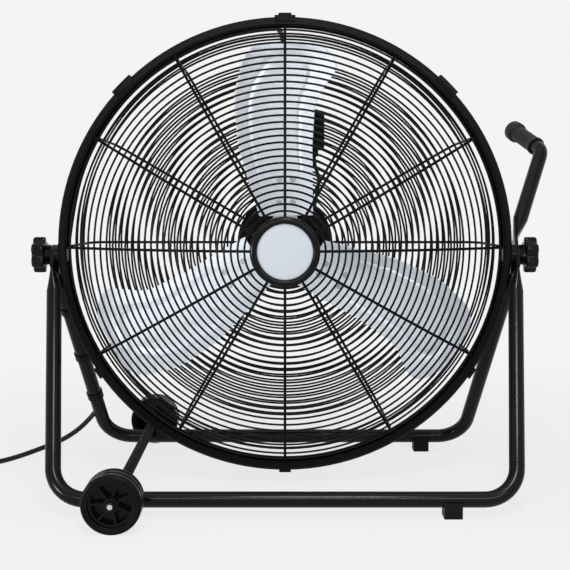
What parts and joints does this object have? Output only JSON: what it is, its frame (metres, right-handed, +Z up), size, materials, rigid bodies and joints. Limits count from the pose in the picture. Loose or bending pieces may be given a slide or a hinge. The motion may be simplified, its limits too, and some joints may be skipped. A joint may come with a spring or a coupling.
{
  "type": "floor fan",
  "caption": "Floor fan with a domed wire guard and metal blades in a round head that tilts between star knobs on a bent tube stand with a carrying handle, feet and wheels.",
  "frame": {"origin": "on the floor under the middle of the box around the fan without its mains cord", "axes": "+X to the right seen from the front, +Y to the back, +Z up"},
  "size_m": [1.0892, 0.5782, 0.6985],
  "materials": {
    "black_steel": "gloss",
    "satin_black": "satin",
    "blade_aluminium": "satin",
    "badge_aluminium": "brushed",
    "bright_steel": "bright",
    "lamination_steel": "matte",
    "black_plastic": "satin",
    "dark_rubber": "matte",
    "tyre_rubber": "matte",
    "cord_cover": "satin"
  },
  "bodies": {
    "frame": {"front_frame": "black_steel", "rear_frame": "black_steel", "handle_grip": "dark_rubber", "grip_end_cap": "black_plastic", "front_foot": "dark_rubber", "rear_foot": "dark_rubber", "axle_rod": "bright_steel", "axle_tube": "black_steel", "axle_washers": "bright_steel", "axle_caps": "bright_steel", "leg_lead": "cord_cover", "leg_clips": "black_plastic", "pivot_lead": "cord_cover", "mains_cord": "cord_cover", "mains_coil": "cord_cover", "mains_plug": "black_plastic", "left_pivot_washer": "bright_steel", "right_pivot_washer": "bright_steel", "left_pivot_bolt": "bright_steel", "right_pivot_bolt": "bright_steel"},
    "head": {"rim_band": "satin_black", "guard_clips": "satin_black", "front_guard_rings": "satin_black", "front_guard_spokes": "satin_black", "front_hub_cap": "black_plastic", "badge_disc": "badge_aluminium", "rear_guard_rings": "satin_black", "rear_guard_spokes": "satin_black", "rear_plate": "satin_black", "motor_front_bell": "satin_black", "motor_rear_bell": "satin_black", "stator": "lamination_steel", "front_bearing": "bright_steel", "rear_bearing": "bright_steel", "motor_screws": "bright_steel", "pivot_brackets": "satin_black", "switch_box": "black_plastic", "switch_lid": "black_plastic", "rotary_switch": "black_plastic", "run_capacitor": "black_plastic", "lead_glands": "black_plastic", "motor_lead": "cord_cover", "rim_lead": "cord_cover"},
    "rotor": {"motor_shaft": "bright_steel", "rotor_core": "lamination_steel", "spider": "bright_steel", "blade_1": "blade_aluminium", "blade_2": "blade_aluminium", "blade_3": "blade_aluminium", "rivets": "bright_steel", "blade_nut": "bright_steel"},
    "front_wheel": {"front_wheel_hub": "black_plastic", "front_wheel_tyre": "tyre_rubber"},
    "rear_wheel": {"rear_wheel_hub": "black_plastic", "rear_wheel_tyre": "tyre_rubber"},
    "left_knob": {"left_knob": "black_plastic"},
    "right_knob": {"right_knob": "black_plastic"},
    "speed_knob": {"speed_knob": "black_plastic"}
  },
  "joints": [
    {"name": "head_tilt", "type": "hinge", "parent": "frame", "child": "head", "pos_m": [-0.01724, 0, 0.344], "axis": [1, 0, 0], "range_deg": [-75, 15], "deforming": ["pivot_lead"]},
    {"name": "rotor_spin", "type": "hinge", "parent": "head", "child": "rotor", "pos_m": [-0.01724, 0, 0.356], "axis": [0, 1, 0], "continuous": true},
    {"name": "front_wheel_spin", "type": "hinge", "parent": "frame", "child": "front_wheel", "pos_m": [-0.24224, -0.261, 0.04], "axis": [0, 1, 0], "continuous": true},
    {"name": "rear_wheel_spin", "type": "hinge", "parent": "frame", "child": "rear_wheel", "pos_m": [-0.24224, 0.261, 0.04], "axis": [0, 1, 0], "continuous": true},
    {"name": "left_knob_turn", "type": "hinge", "parent": "frame", "child": "left_knob", "pos_m": [-0.37724, 0, 0.344], "axis": [-1, 0, 0], "range_deg": [0, 360]},
    {"name": "right_knob_turn", "type": "hinge", "parent": "frame", "child": "right_knob", "pos_m": [0.34276, 0, 0.344], "axis": [1, 0, 0], "range_deg": [0, 360]},
    {"name": "speed_knob_turn", "type": "hinge", "parent": "head", "child": "speed_knob", "pos_m": [-0.00124, 0.15, 0.5305], "axis": [0, 1, 0], "range_deg": [0, 135]}
  ]
}
